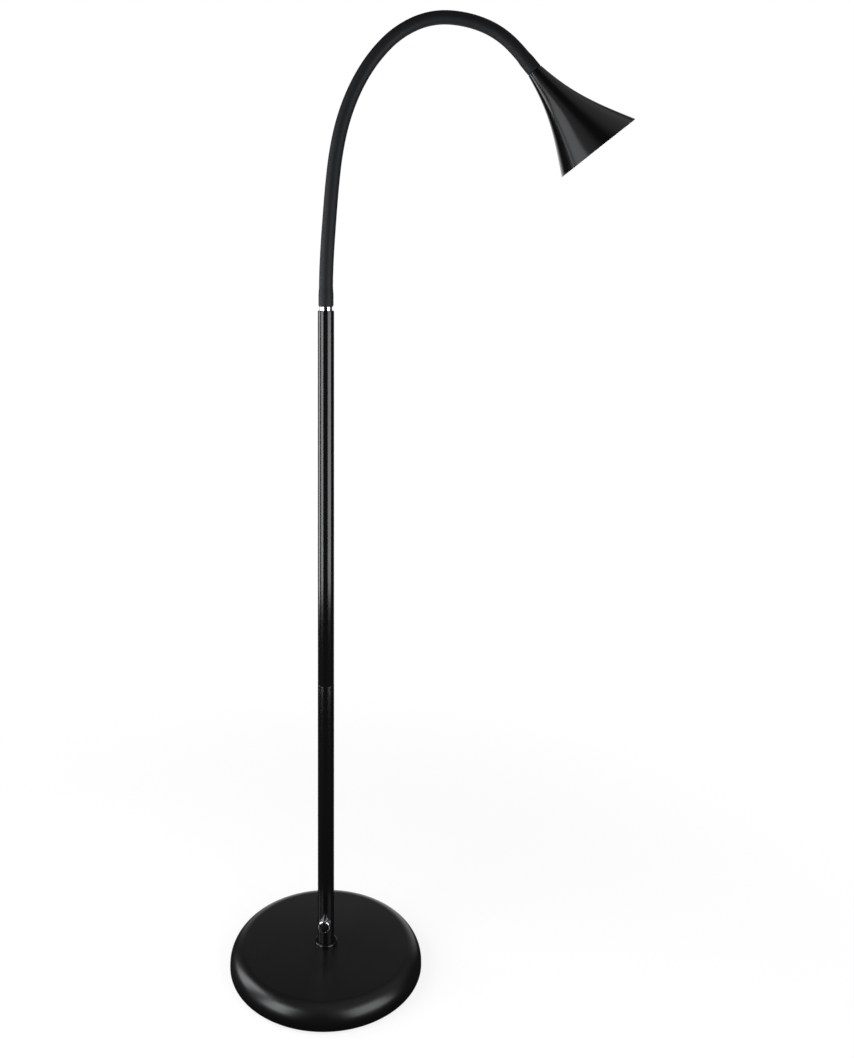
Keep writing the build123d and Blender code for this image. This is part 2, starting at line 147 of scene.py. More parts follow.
def rounded(corners, steps=7):
    """An outline with rounded corners. Each corner is (x, y, radius), in millimetres.

    A corner of half angle h is cut back by radius / tan(h) along both sides, and the arc's
    centre lies radius / sin(h) along the line that halves the corner. The arc's points turn
    evenly from one cut to the other.
    """
    corners = np.array(corners, float)
    at, radius = corners[:, :2], corners[:, 2:]
    back, ahead = np.roll(at, 1, axis=0) - at, np.roll(at, -1, axis=0) - at
    back /= np.linalg.norm(back, axis=1, keepdims=True)
    ahead /= np.linalg.norm(ahead, axis=1, keepdims=True)
    half = np.arccos(np.clip((back * ahead).sum(axis=1, keepdims=True), -1, 1)) / 2
    middle = back + ahead
    middle /= np.linalg.norm(middle, axis=1, keepdims=True) + 1e-12
    centre = at + middle * radius / np.sin(half)
    first = at + back * radius / np.tan(half) - centre
    last = at + ahead * radius / np.tan(half) - centre
    turn = (np.pi - 2 * half)[:, None, :]
    share = np.linspace(0, 1, steps)[None, :, None]
    arc = np.sin((1 - share) * turn) * first[:, None] + np.sin(share * turn) * last[:, None]
    outline = (centre[:, None] + arc / np.maximum(np.sin(turn), 1e-9)).reshape(-1, 2)
    apart = np.linalg.norm(outline - np.roll(outline, 1, axis=0), axis=1)
    return outline[apart > 1e-6]


square = rounded([(0, 0, 2), (10, 0, 2), (10, 10, 2), (0, 10, 2)])
print("a square of 10 mm with 2 mm corners has", len(square), "points")

# %% [markdown]
# ## Turned shapes
# Almost every piece of this lamp is round: pressed, drawn, spun or turned on a lathe. So one
# helper turns an outline about an axis. Blender's Spin tool or its Screw modifier would do it
# too, but a formula keeps every size in sight and gives the same mesh each time.

# %% Turn an outline about an axis


def turned(outline, origin=(0, 0, 0), axis=(0, 0, 1), side=(1, 0, 0), around=128):
    """Points of an outline of (radius, height) turned about an axis.

    Point = origin + height * axis + radius * (cos a * side + sin a * (axis x side)).
    """
    axis, side = np.array(axis, float), np.array(side, float)
    angle = np.linspace(0, 2 * np.pi, around, endpoint=False)[:, None, None]
    ring = np.cos(angle) * side + np.sin(angle) * np.cross(axis, side)
    radius, height = outline[None, :, :1], outline[None, :, 1:]
    return np.array(origin, float) + height * axis + radius * ring


print("the square turned about an axis has", turned(square).reshape(-1, 3).shape[0], "points")

# %% [markdown]
# ## Helpers for finishes
# A finish is a small tree of nodes. One function adds a node with its settings and its links,
# and one turns the colours that a designer writes, sRGB hex, into the linear values that
# Blender's shaders expect.

# %% Colours and nodes


def linear(hex_colour):
    """An sRGB hex colour as linear RGBA: each part is ((c + 0.055) / 1.055) ** 2.4."""
    parts = np.array([int(hex_colour[i : i + 2], 16) for i in (1, 3, 5)]) / 255
    low = parts / 12.92
    high = ((parts + 0.055) / 1.055) ** 2.4
    return (*np.where(parts <= 0.04045, low, high).tolist(), 1.0)


def add_node(tree, kind, settings=None, **inputs):
    """Adds a node. settings are its own values; inputs are socket values or links."""
    node = tree.nodes.new(kind)
    for key, value in (settings or {}).items():
        setattr(node, key, value)
    for key, value in inputs.items():
        socket = node.inputs[int(key[1:]) if key[0] == "_" else key.replace("_", " ")]
        if isinstance(value, bpy.types.NodeSocket):
            tree.links.new(value, socket)
        else:
            socket.default_value = value
    return node


def new_material(name):
    """An empty material with its output node, ready for a shader."""
    material = bpy.data.materials.new(name)
    material.use_nodes = True
    material.node_tree.nodes.clear()
    return material, material.node_tree


def set_surface(tree, shader):
    """Links a shader to the material's output."""
    add_node(tree, "ShaderNodeOutputMaterial", Surface=shader.outputs[0])


print("the grey #808080 is", round(linear("#808080")[0], 3), "in linear light")

# %% [markdown]
# ## Baked enamel
# Cover, tubes, collar and shade are steel with a sprayed and baked black enamel. Such paint
# flows out nearly flat and keeps a faint orange peel, ripples about two millimetres apart, so
# its reflections are clear in the middle and soft at their edges. A plain black colour with one
# roughness would look like plastic, so the gloss also varies a little from place to place.

# %% Make the sprayed enamel


RELIEF = 0.05 * MM  # the full height of a bump pattern, before its strength
PEEL_MM, PATCH_MM = 2.2, 60


def enamel(name, colour, roughness, ior=1.52):
    """Baked enamel: a dielectric with orange peel and a gloss that varies by 8 percent."""
    material, tree = new_material(name)
    place = add_node(tree, "ShaderNodeTexCoord")
    peel = add_node(
        tree, "ShaderNodeTexNoise",
        Vector=place.outputs["Object"], Scale=1 / (PEEL_MM * MM), Detail=2.0,
    )
    bump = add_node(
        tree, "ShaderNodeBump",
        Height=peel.outputs["Fac"], Strength=0.02, Distance=RELIEF,
    )
    patches = add_node(
        tree, "ShaderNodeTexNoise",
        Vector=place.outputs["Object"], Scale=1 / (PATCH_MM * MM), Detail=3.0,
    )
    gloss = add_node(
        tree, "ShaderNodeMapRange",
        Value=patches.outputs["Fac"], _3=roughness * 0.92, _4=roughness * 1.08,
    )
    shader = add_node(
        tree, "ShaderNodeBsdfPrincipled",
        Base_Color=linear(colour), Roughness=gloss.outputs["Result"], IOR=ior,
        Normal=bump.outputs["Normal"],
    )
    set_surface(tree, shader)
    return material


# Satin coat of the pole, collar and shade: clear bands of light on an almost black body.
BLACK_ENAMEL = enamel("satin_black_baked_enamel", "#0a0a0b", 0.17)
# Duller coat of the base: the same lights spread into wide, soft highlights on its shoulder.
BASE_ENAMEL = enamel("matt_black_baked_enamel", "#090909", 0.30, ior=1.46)
# White coat inside the shade: bright all over and hardly mirroring, to throw the light out.
WHITE_ENAMEL = enamel("white_baked_enamel", "#f4f4f2", 0.45)
print("enamels", BLACK_ENAMEL.name, BASE_ENAMEL.name, WHITE_ENAMEL.name)

# %% [markdown]
# ## Metals
# The ring on the pole and the collar of the switch are brass with chrome plating, and inside
# the lamp there are zinc, iron, brass and aluminium. A metal has no colour but that of its
# mirror image, so its base colour tints the image and its roughness blurs it. The grain below
# only varies that roughness. It is finer on the real metals, and is drawn this coarse to show.

# %% Make the metals


def metal(name, colour, roughness, grain_mm=0.6, unevenness=0.15):
    """Bare or plated metal: fully metallic, with a roughness that varies a little."""
    material, tree = new_material(name)
    place = add_node(tree, "ShaderNodeTexCoord")
    grain = add_node(
        tree, "ShaderNodeTexNoise",
        Vector=place.outputs["Object"], Scale=1 / (grain_mm * MM), Detail=2.0,
    )
    gloss = add_node(
        tree, "ShaderNodeMapRange",
        Value=grain.outputs["Fac"],
        _3=roughness * (1 - unevenness), _4=roughness * (1 + unevenness),
    )
    shader = add_node(
        tree, "ShaderNodeBsdfPrincipled",
        Base_Color=linear(colour), Metallic=1.0, Roughness=gloss.outputs["Result"],
    )
    set_surface(tree, shader)
    return material


# Polished plating on the neck's ring: sharp white and black, with nothing between.
CHROME = metal("bright_chrome_plating", "#d9dbdf", 0.07, grain_mm=3)
# Plating over a brushed collar at the switch: the same mirror image with soft edges.
SATIN_CHROME = metal("satin_chrome_plating", "#d9dbdf", 0.20, grain_mm=2)
# Zinc on the hidden steel: an even, bluish grey shine.
ZINC = metal("zinc_plated_steel", "#a9acb0", 0.38)
# Iron as it comes from the sand: dark, with a coarse, uneven glint.
IRON = metal("sand_cast_iron", "#4a4b4d", 0.62, grain_mm=1.4, unevenness=0.3)
# Rolled sheet of the switch's blades: a warm yellow shine.
BRASS = metal("rolled_brass", "#c9a553", 0.3)
# Aluminium off the lathe: a light grey shine with a fine grain.
ALUMINIUM = metal("turned_aluminium", "#c4c6c9", 0.34, grain_mm=0.4)
print("metals", CHROME.name, SATIN_CHROME.name, ZINC.name, IRON.name, BRASS.name, ALUMINIUM.name)

# %% [markdown]
# ## Rubber and plastics
# The neck's sleeve is extruded rubber, dull and a little bluer and lighter than the paint,
# because its rough skin scatters the light instead of mirroring it. The grain of such a skin is
# finer than a tenth of a millimetre. It is drawn 0.8 mm wide, so that it shows at all. On the
# sleeve it follows the neck in texture coordinates, so that it bends with the rubber. Object
# coordinates would slide over the sleeve in a bent pose.

# %% Make the rubbers and plastics


def moulded(name, colour, roughness, ior=1.5, grain_mm=0.8, coordinates="Object", depth=0.15):
    """Moulded plastic or extruded rubber: a fine grain in both its bump and its colour."""
    material, tree = new_material(name)
    place = add_node(tree, "ShaderNodeTexCoord")
    grain = add_node(
        tree, "ShaderNodeTexNoise",
        Vector=place.outputs[coordinates], Scale=1 / (grain_mm * MM), Detail=3.0,
    )
    dark, light = np.array(linear(colour)) * 0.92, np.array(linear(colour)) * 1.08
    tint = add_node(
        tree, "ShaderNodeMix", {"data_type": "RGBA"},
        _0=grain.outputs["Fac"], _6=(*dark[:3], 1), _7=(*np.minimum(light[:3], 1), 1),
    )
    bump = add_node(
        tree, "ShaderNodeBump",
        Height=grain.outputs["Fac"], Strength=depth, Distance=RELIEF,
    )
    shader = add_node(
        tree, "ShaderNodeBsdfPrincipled",
        Base_Color=tint.outputs[2], Roughness=roughness, IOR=ior,
        Normal=bump.outputs["Normal"],
    )
    set_surface(tree, shader)
    return material


# Extruded rubber of the sleeve: a dull, faintly blue black with a broad, weak sheen of light.
RUBBER = moulded(
    "extruded_black_rubber", "#111216", 0.62, ior=1.40, coordinates="UV", depth=0.06
)
# Moulded rubber of the gland and the leads' jackets: dull and neutral.
GLAND_RUBBER = moulded("moulded_black_rubber", "#161617", 0.6)
# Foam under the base: no shine at all, and a coarse skin.
FOAM = moulded("black_foam_rubber", "#1a1a1b", 0.9, grain_mm=1.2)
# Moulded plastic of the switch: a black with a small, soft highlight.
BLACK_PLASTIC = moulded("moulded_black_plastic", "#0c0c0d", 0.28)
# Moulded plastic of the cup and the lens's ring: a warm white with a silky shine.
WHITE_PLASTIC = moulded("moulded_white_plastic", "#f0f0ec", 0.4)
# Frosted acrylic of the lens: milky, a little yellower than the cup.
LENS_PLASTIC = moulded("frosted_acrylic", "#f6f5ee", 0.35, ior=1.49)
# Cast phosphor over the emitter: the yellow square of an unlit lamp.
PHOSPHOR = moulded("cast_yellow_phosphor", "#e8c33d", 0.5)
print("rubber", RUBBER.name, "and six more moulded finishes")

# %% [markdown]
# ## The base
# The cover is pressed from steel sheet: a flat top, a generously round shoulder, a short wall
# and a hem turned in underneath. It is one closed outline turned about the pole's axis. A
# cylinder with a Bevel modifier would look alike from above but would be solid inside. The
# shoulder has many points, because a highlight on black paint shows the least flat.

# %% Turn the base's cover
BASE_R, BASE_TOP, SHOULDER_R, SHEET = 127.0, 28.0, 20.0, 1.2
HEM_Z, HEM_R, HEM_INNER_R, HEM_EDGE = 2.5, 2.0, 120.0, 0.4
BOLT_R = 5.3  # the hole for the threaded nipple, and the shade's for the neck's fitting

cover_outline = rounded(
    [
        (BOLT_R, BASE_TOP, 0),
        (BASE_R, BASE_TOP, SHOULDER_R),
        (BASE_R, HEM_Z, HEM_R),
        (HEM_INNER_R, HEM_Z, HEM_EDGE),
        (HEM_INNER_R, HEM_Z + SHEET, HEM_EDGE),
        (BASE_R - SHEET, HEM_Z + SHEET, HEM_R - SHEET),
        (BASE_R - SHEET, BASE_TOP - SHEET, SHOULDER_R - SHEET),
        (BOLT_R, BASE_TOP - SHEET, 0),
    ],
    steps=24,
)
base_cover = new_piece(
    "base_cover_pressed", grid_mesh("base_cover", turned(cover_outline, around=256)),
    "stand", ["base_cover"], BASE_ENAMEL,
)
print("cover", len(base_cover.data.polygons), "faces")

# %% [markdown]
# ## The pole
# Two steel tubes screw together end to end, and a loose collar hides where the lower one
# meets the base. Each end is broken by a small bevel, so the joint shows as a thin line. Two
# cylinders would do from afar, but their sharp ends would show no line at all.

# %% Turn the collar and the two tubes
TUBE_R, TUBE_WALL, JOINT_Z, POLE_TOP = 11.0, 1.0, 372.5, 871.0
COLLAR_R, COLLAR_H, COLLAR_GAP = 14.6, 3.6, 0.12


def tube_piece(name, node, low, high, low_bevel, high_bevel):
    """A tube's wall: a rectangle in outline, its outer corners slightly rounded, turned."""
    outline = rounded(
        [
            (TUBE_R - TUBE_WALL, low, 0),
            (TUBE_R, low, low_bevel),
            (TUBE_R, high, high_bevel),
            (TUBE_R - TUBE_WALL, high, 0),
        ]
    )
    mesh = grid_mesh(node, turned(outline, around=96))
    new_piece(name, mesh, "stand", [node], BLACK_ENAMEL)


tube_piece("lower_tube_drawn", "lower_tube", BASE_TOP, JOINT_Z, 0.1, 0.35)
tube_piece("upper_tube_drawn", "upper_tube", JOINT_Z, POLE_TOP, 0.35, 0.6)

collar_outline = rounded(
    [
        (TUBE_R + COLLAR_GAP, BASE_TOP, 0),
        (COLLAR_R, BASE_TOP, 0.3),
        (COLLAR_R, BASE_TOP + COLLAR_H, 1.3),
        (TUBE_R + COLLAR_GAP, BASE_TOP + COLLAR_H, 0.7),
    ]
)
new_piece(
    "foot_collar_turned", grid_mesh("foot_collar", turned(collar_outline, around=96)),
    "stand", ["foot_collar"], BLACK_ENAMEL,
)
print("pole", POLE_TOP - BASE_TOP, "mm long")

# %% [markdown]
# ## The switch
# A chromed collar stands out of the front of the pole, with the push button inside it. Its
# back end is cut to a saddle that follows the tube. The saddle comes from the tube's own
# equation, so no Boolean is needed and the edge is exact.

# %% Shape the chrome collar of the switch
SWITCH_Z, BEZEL_R, BEZEL_FRONT, SWITCH_BORE_R = 59.0, 8.0, 19.0, 5.1
BEZEL_ROUND, BEZEL_INNER_ROUND, SADDLE_SINK = 1.7, 1.1, 0.4


def switch_bezel_points(around=96, steps=9):
    """Rings about the switch's axis. The first and last ring lie just inside the tube's wall.

    At radius r and angle a, the depth of such a ring is sqrt(R^2 - (r cos a)^2), where R is
    the tube's radius less the saddle's sink.
    """
    angle = np.linspace(0, 2 * np.pi, around, endpoint=False)[:, None]
    front = rounded(
        [
            (SWITCH_BORE_R, 0, 0),
            (BEZEL_R, 0, 0),
            (BEZEL_R, BEZEL_FRONT, BEZEL_ROUND),
            (SWITCH_BORE_R, BEZEL_FRONT, BEZEL_INNER_ROUND),
        ],
        steps,
    )
    radius, depth = front[None, :, 0], front[None, :, 1]
    saddle = np.sqrt((TUBE_R - SADDLE_SINK) ** 2 - (radius * np.cos(angle)) ** 2)
    depth = np.where(depth < 1, saddle, depth)
    x, z = radius * np.cos(angle), SWITCH_Z + radius * np.sin(angle)
    return np.stack([x, -depth, z], axis=-1)


new_piece(
    "switch_bezel_chromed", grid_mesh("switch_bezel", switch_bezel_points()),
    "stand", ["switch_bezel"], SATIN_CHROME,
)
print("collar of the switch is", 2 * BEZEL_R, "mm across and ends", BEZEL_FRONT, "mm out")

# %% [markdown]
# ## The push button
# The button is a moulded plug with a slightly domed face, so that a finger finds its middle. A
# flat face would flash white all at once as the lamp turns, and a dome keeps its highlight
# small. The dome is a parabola in the radius, and at this size a sphere would look the same.

# %% Turn the push button
BUTTON_R, BUTTON_BACK, BUTTON_FRONT, BUTTON_CROWN = 4.8, 13.0, 21.4, 1.0
dome = np.linspace(1, 0, 16)[:, None] * BUTTON_R
dome_height = BUTTON_FRONT - BUTTON_CROWN * (dome / BUTTON_R) ** 2
button_outline = np.vstack(
    [[(0, BUTTON_BACK), (BUTTON_R, BUTTON_BACK)], np.hstack([dome, dome_height])]
)
button_points = turned(
    button_outline, origin=(0, 0, SWITCH_Z), axis=(0, -1, 0), side=(1, 0, 0), around=64
)
new_piece(
    "switch_button_moulded", grid_mesh("switch_button", button_points, wrap=(True, False)),
    "button", ["switch_button"], BLACK_PLASTIC,
)
print("button stands", round(BUTTON_FRONT - BEZEL_FRONT, 1), "mm proud of its collar")

# %% [markdown]
# ## The neck's line
# The arch isn't a circle: the neck rises straight, bends more and more, and straightens again
# before the shade. It is held here as thirteen stretches of equal length, each with its own
# steady bend, so the line has no corner anywhere. A Bezier curve would be quicker to draw but
# would not say how far along it a point is, and the bending below needs that.

# %% Work out the neck's line
RING_H, CUFF, SECTION = 5.6, 24.0, 46.0
SLEEVE_Z = POLE_TOP + RING_H
TURNS = np.array([2, 2, 0.5, 2, 6, 9, 10.5, 13.5, 22, 27.5, 18.5, 23, 5])
RUN_LENGTH = np.array([CUFF, SECTION - CUFF, *[SECTION] * 11, SECTION - CUFF, CUFF])
RUN_TURN = np.radians([0, TURNS[0], *TURNS[1:-1], TURNS[-1], 0])
NECK_LENGTH = RUN_LENGTH.sum()


def neck_line(distance):
    """Points and directions of the neck's line at distances along it, as whole arrays.

    Each stretch is an arc. Its chord is 2 * length / turn * sin(turn / 2), and points half
    the turn away from the stretch's first direction. The stretches' chords add up.
    """
    distance = np.atleast_1d(np.asarray(distance, float))
    begin = np.concatenate([[0], np.cumsum(RUN_LENGTH)])
    lean = np.concatenate([[0], np.cumsum(RUN_TURN)])
    inside = np.clip(distance[:, None] - begin[:-1], 0, RUN_LENGTH)
    turn = RUN_TURN * inside / RUN_LENGTH
    chord = inside * np.sinc(turn / 2 / np.pi)
    heading = lean[:-1] + turn / 2
    x = (chord * np.sin(heading)).sum(axis=1)
    z = SLEEVE_Z + (chord * np.cos(heading)).sum(axis=1)
    angle = turn.sum(axis=1)
    zero = np.zeros_like(x)
    points = np.stack([x, zero, z], axis=-1)
    ahead = np.stack([np.sin(angle), zero, np.cos(angle)], axis=-1)
    return points, ahead


THROAT, HEAD_AXIS = (row[0] for row in neck_line(NECK_LENGTH))
print("neck", round(NECK_LENGTH), "mm, throat of the shade at", np.round(THROAT, 1).tolist())

# %% [markdown]
# ## The sleeve's thickness
# One rubber sleeve covers the whole neck. At both ends it is stretched over a fitting, so it
# swells there and runs out smoothly, and its cut end has a small round lip. The radius is a
# formula of the distance along the neck. A Curve object with a bevel could taper too, but its
# taper would follow the curve's own parameter, not the distance in millimetres.

# %% Work out the sleeve's radius
SLEEVE_R, CUFF_R, FERRULE_R, BORE_R = 9.4, 10.1, 8.2, 7.3
RUN_OUT = (9, 12)  # the swelling starts 9 mm before the fitting's end and takes 12 mm
LIP_DEPTH, LIP_LENGTH = 0.9, 1.4


def smooth(share):
    """A soft step from 0 to 1: 3 t^2 - 2 t^3."""
    share = np.clip(share, 0, 1)
    return share**2 * (3 - 2 * share)


def sleeve_radius(distance):
    """Outer radius: the sleeve's own, plus a swelling over each fitting and a rounded lip."""
    from_end = np.minimum(distance, NECK_LENGTH - distance)
    swelling = (CUFF_R - SLEEVE_R) * (1 - smooth((from_end - CUFF + RUN_OUT[0]) / RUN_OUT[1]))
    lip = LIP_DEPTH * (1 - np.sqrt(1 - (1 - np.clip(from_end / LIP_LENGTH, 0, 1)) ** 2))
    return SLEEVE_R + swelling - lip


def sleeve_bore(distance):
    """Inner radius: the fitting's inside each end, and the sleeve's own bore between."""
    from_end = np.minimum(distance, NECK_LENGTH - distance)
    return np.where(from_end < CUFF, FERRULE_R, BORE_R)


print("sleeve is", 2 * SLEEVE_R, "mm across, and", 2 * CUFF_R, "mm over the fittings")

# %% [markdown]
# ## Sweeping a wall along the neck
# A flexible tube is a ring carried along a line and kept square to it. The wall is closed: it
# goes out along the outside and comes back along the bore. Extruding a circle by hand would do
# it as well, but each ring would have to be turned and scaled by eye.

# %% Carry rings along the neck's line


def swept_wall(begin, end, outer, inner, step=1.5, around=48):
    """A tube's wall along the neck's line: out along the outside and back along the bore.

    Point = line + radius * (cos a * up + sin a * across), where up is square to the line
    in the neck's plane.
    """
    rows = int(round((end - begin) / step)) + 1
    along = np.linspace(begin, end, rows)
    along = np.concatenate([along, along[::-1]])
    radius = np.concatenate([outer(along[:rows]), inner(along[rows:])])
    centre, ahead = neck_line(along)
    up = np.cross(np.array([0, 1.0, 0]), ahead)
    angle = np.linspace(0, 2 * np.pi, around, endpoint=False)[:, None, None]
    ring = np.cos(angle) * up + np.sin(angle) * np.array([0, 1.0, 0])
    return centre + radius[None, :, None] * ring


trial_points = swept_wall(0, SECTION, sleeve_radius, sleeve_bore)
print("one stretch of the wall has", trial_points[..., 0].size, "points")

# %% [markdown]
# ## Texture coordinates along the neck
# The rubber's grain has to bend with the rubber, so it is laid out on the surface as a strip:
# one coordinate goes round the neck and the other along it, both in metres. Blender's Unwrap
# would find its own scale and seams, and here the grain's size in millimetres matters.

# %% Lay a strip of texture coordinates along the neck


def strip_uv(mesh, radius):
    """Texture coordinates in metres for a piece on the neck: way round, and way along.

    Each vertex finds the nearest point of the neck's line. The way along is that point's
    distance, and the way round is radius * angle, unwrapped so that no face spans the seam.
    """
    layer = mesh.uv_layers.new(name="along_the_neck")
    place = np.empty(len(mesh.vertices) * 3)
    mesh.vertices.foreach_get("co", place)
    place = place.reshape(-1, 3) / MM
    samples = np.arange(0, NECK_LENGTH + 0.5, 1.0)
    line, ahead = neck_line(samples)
    nearest = ((place[:, None, [0, 2]] - line[None, :, [0, 2]]) ** 2).sum(axis=-1).argmin(axis=1)
    away = place - line[nearest]
    along = samples[nearest] + (away * ahead[nearest]).sum(axis=1)
    up = np.cross(np.array([0, 1.0, 0]), ahead[nearest])
    around = np.arctan2(place[:, 1], (away * up).sum(axis=1))
    corner = np.empty(len(mesh.loops), int)
    mesh.loops.foreach_get("vertex_index", corner)
    first = np.empty(len(mesh.polygons), int)
    total = np.empty(len(mesh.polygons), int)
    mesh.polygons.foreach_get("loop_start", first)
    mesh.polygons.foreach_get("loop_total", total)
    base = np.repeat(around[corner[first]], total)
    unwrapped = base + (around[corner] - base + np.pi) % (2 * np.pi) - np.pi
    place_on_strip = np.stack([unwrapped * radius * MM, along[corner] * MM], axis=-1)
    layer.uv.foreach_set("vector", place_on_strip.ravel())


print("strip is", round(NECK_LENGTH), "mm long and", round(2 * np.pi * SLEEVE_R), "mm round")

# %% [markdown]
# ## The sleeve
# A bent pose has to bend the sleeve, and each bend may act on two bodies only. So the sleeve is
# made as twelve lengths that meet where the neck's inner pieces are stiff. Their edges share
# the same points and directions, and no seam shows. One long piece with an armature would look
# the same at rest, but it could not be handed on with the lamp's own joints.

# %% Sweep the sleeve


def neck_pieces(name, node, outer, inner, low, high, around):
    """Lengths from one stiff middle to the next, each spanning the hinge between."""
    for number in range(1, 13):
        begin = low if number == 1 else SECTION * (number - 0.5)
        end = high if number == 12 else SECTION * (number + 0.5)
        mesh = grid_mesh(node, swept_wall(begin, end, outer, inner, around=around))
        strip_uv(mesh, SLEEVE_R)
        piece = new_piece(f"{name}_{number}", mesh, None, [node], RUBBER)
        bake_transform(piece)
    print(name, "is made in", number, "lengths")


neck_pieces(
    "neck_sleeve_rubber", "neck_sleeve", sleeve_radius, sleeve_bore, 0, NECK_LENGTH, around=48
)

# %% [markdown]
# ## The lead inside the neck
# The lead runs through the wound core and bends with the sleeve, so the same sweep makes it in
# the same twelve lengths. It could also stay a solid of the model.

# %% Sweep the lead
LEAD_R, LEAD_CORE_R = 1.25, 0.5
neck_pieces(
    "neck_lead_wire", "neck_lead", lambda s: 0 * s + LEAD_R, lambda s: 0 * s + LEAD_CORE_R,
    CUFF, NECK_LENGTH - CUFF, around=12,
)

# %% [markdown]
# ## The ring
# A short chromed ring sits between the pole and the sleeve. Its polished side mirrors the soft
# boxes left and right and the dark room behind the camera, so it reads as bright bands with
# black between them. It is turned like the tubes, with two small bevels.

# %% Turn the chrome ring
RING_R, RING_BORE, RING_EDGE = 8.5, 5.0, 0.3
ring_outline = rounded(
    [
        (RING_BORE, POLE_TOP, 0),
        (RING_R, POLE_TOP, RING_EDGE),
        (RING_R, SLEEVE_Z, RING_EDGE),
        (RING_BORE, SLEEVE_Z, 0),
    ]
)
new_piece(
    "neck_ring_chromed", grid_mesh("neck_ring", turned(ring_outline, around=96)),
    "stand", ["neck_ring"], CHROME,
)
print("ring is", 2 * RING_R, "mm across and", RING_H, "mm high")

# %% [markdown]
# ## The shade
# The shade is spun from sheet over a former, so its side is one even curve from a narrow
# throat to a wide mouth. A quartic in the distance from the throat follows it within a sixth of
# a millimetre, and it has no knots to put right as a drawn Bezier profile would. The outside is
# black enamel and the inside white, as on most task lamps, so the faces get one of two finishes
# by which wall they lie on.

# %% Spin the shade
SHADE_LENGTH, THROAT_WALL = 130.0, 2.0
WALL_ACROSS = 1.32  # the spun wall, 1.2 mm thick, measured square to the shade's axis
HEAD_SIDE = np.cross(np.array([0, 1.0, 0]), HEAD_AXIS)


def trumpet_radius(along):
    """10.55 + 21.57 t + 11.96 t^2 + 38.62 t^3 - 23.53 t^4, with t the share of the length."""
    return np.polyval([-23.53, 38.62, 11.96, 21.57, 10.55], along / SHADE_LENGTH)


def head_turned(outline, around=128):
    """An outline of (radius, distance from the throat) turned about the head's axis."""
    return turned(outline, origin=THROAT, axis=HEAD_AXIS, side=HEAD_SIDE, around=around)


along = np.linspace(0, SHADE_LENGTH, 80)
outside = np.stack([trumpet_radius(along), along], axis=-1)
along_in = np.linspace(SHADE_LENGTH - 0.15, THROAT_WALL, 80)
inside = np.stack([trumpet_radius(along_in) - WALL_ACROSS, along_in], axis=-1)
rim_angle = np.linspace(0.15, 0.85, 6)[:, None] * np.pi
rim_middle = (outside[-1] + inside[0]) / 2
rim_radius = np.linalg.norm(outside[-1] - inside[0]) / 2
rim = rim_middle + rim_radius * np.hstack([np.cos(rim_angle), np.sin(rim_angle) * 0.6])
shade_outline = np.vstack(
    [[(BOLT_R, 0)], outside, rim, inside, [(BOLT_R, THROAT_WALL)]]
)
shade = new_piece(
    "shade_spun", grid_mesh("shade", head_turned(shade_outline, around=192), sharp=50),
    "head", ["shade"], BLACK_ENAMEL,
)
shade.data.materials.append(WHITE_ENAMEL)
centres = np.empty(len(shade.data.polygons) * 3)
shade.data.polygons.foreach_get("center", centres)
from_throat = centres.reshape(-1, 3) / MM - THROAT
face_along = from_throat @ HEAD_AXIS
face_radius = np.linalg.norm(from_throat - face_along[:, None] * HEAD_AXIS, axis=1)
white = (face_radius < trumpet_radius(face_along) - 0.8) & (face_along > THROAT_WALL - 0.5)
shade.data.polygons.foreach_set("material_index", white.astype(np.int32))
print("shade", len(shade.data.polygons), "faces,", int(white.sum()), "of them white")

# %% [markdown]
# ## Inside the shade
# A white cup with a flange closes the throat and holds the lens under a screw ring. Only a
# look up into the shade shows them, but they are what makes it a lamp. They are turned about
# the head's own axis, so no piece has to be rotated into place afterwards.

# %% Turn the cup, the lens's ring and the lens
EMITTER_AT, LENS_AT, CUP_R, CUP_WALL, LENS_THICK = 42.6, 59.0, 15.5, 1.4, 2.0
FLANGE_R, SCREW_RING_OUT, SCREW_RING_H = 23.65, 2.2, 3.2

cup_outline = rounded(
    [
        (CUP_R - CUP_WALL, EMITTER_AT, 0.2),
        (CUP_R, EMITTER_AT, 0.2),
        (CUP_R, LENS_AT - 1.4, 0.6),
        (FLANGE_R, LENS_AT - 1.4, 0.3),
        (FLANGE_R, LENS_AT, 0.5),
        (CUP_R - CUP_WALL, LENS_AT, 0.2),
    ]
)
new_piece(
    "lamp_cup_moulded", grid_mesh("lamp_cup", head_turned(cup_outline, around=96)),
    "head", ["lamp_cup"], WHITE_PLASTIC,
)
screw_ring_outline = rounded(
    [
        (CUP_R, LENS_AT, 0.1),
        (CUP_R + SCREW_RING_OUT, LENS_AT, 0.1),
        (CUP_R + SCREW_RING_OUT, LENS_AT + SCREW_RING_H, 0.9),
        (CUP_R - 1.2, LENS_AT + SCREW_RING_H, 0.4),
        (CUP_R - 1.2, LENS_AT + LENS_THICK, 0.1),
        (CUP_R, LENS_AT + LENS_THICK, 0.0),
    ]
)
new_piece(
    "lens_ring_moulded", grid_mesh("lens_ring", head_turned(screw_ring_outline, around=96)),
    "head", ["lens_ring"], WHITE_PLASTIC,
)
lens_outline = np.array(
    [(0, LENS_AT), (CUP_R, LENS_AT), (CUP_R, LENS_AT + LENS_THICK), (0, LENS_AT + LENS_THICK)]
)
new_piece(
    "lens_frosted", grid_mesh("lens", head_turned(lens_outline, around=96), wrap=(True, False)),
    "head", ["lens"], LENS_PLASTIC,
)
print("lens is", 2 * CUP_R, "mm across,", SHADE_LENGTH - LENS_AT, "mm behind the shade's mouth")

# %% [markdown]
# ## Finishes for the pieces that stay as they are
# The solids that hide inside the lamp keep their own meshes and only get the right finish. New
# meshes for them would look the same, because only a cut or an open base would show them.

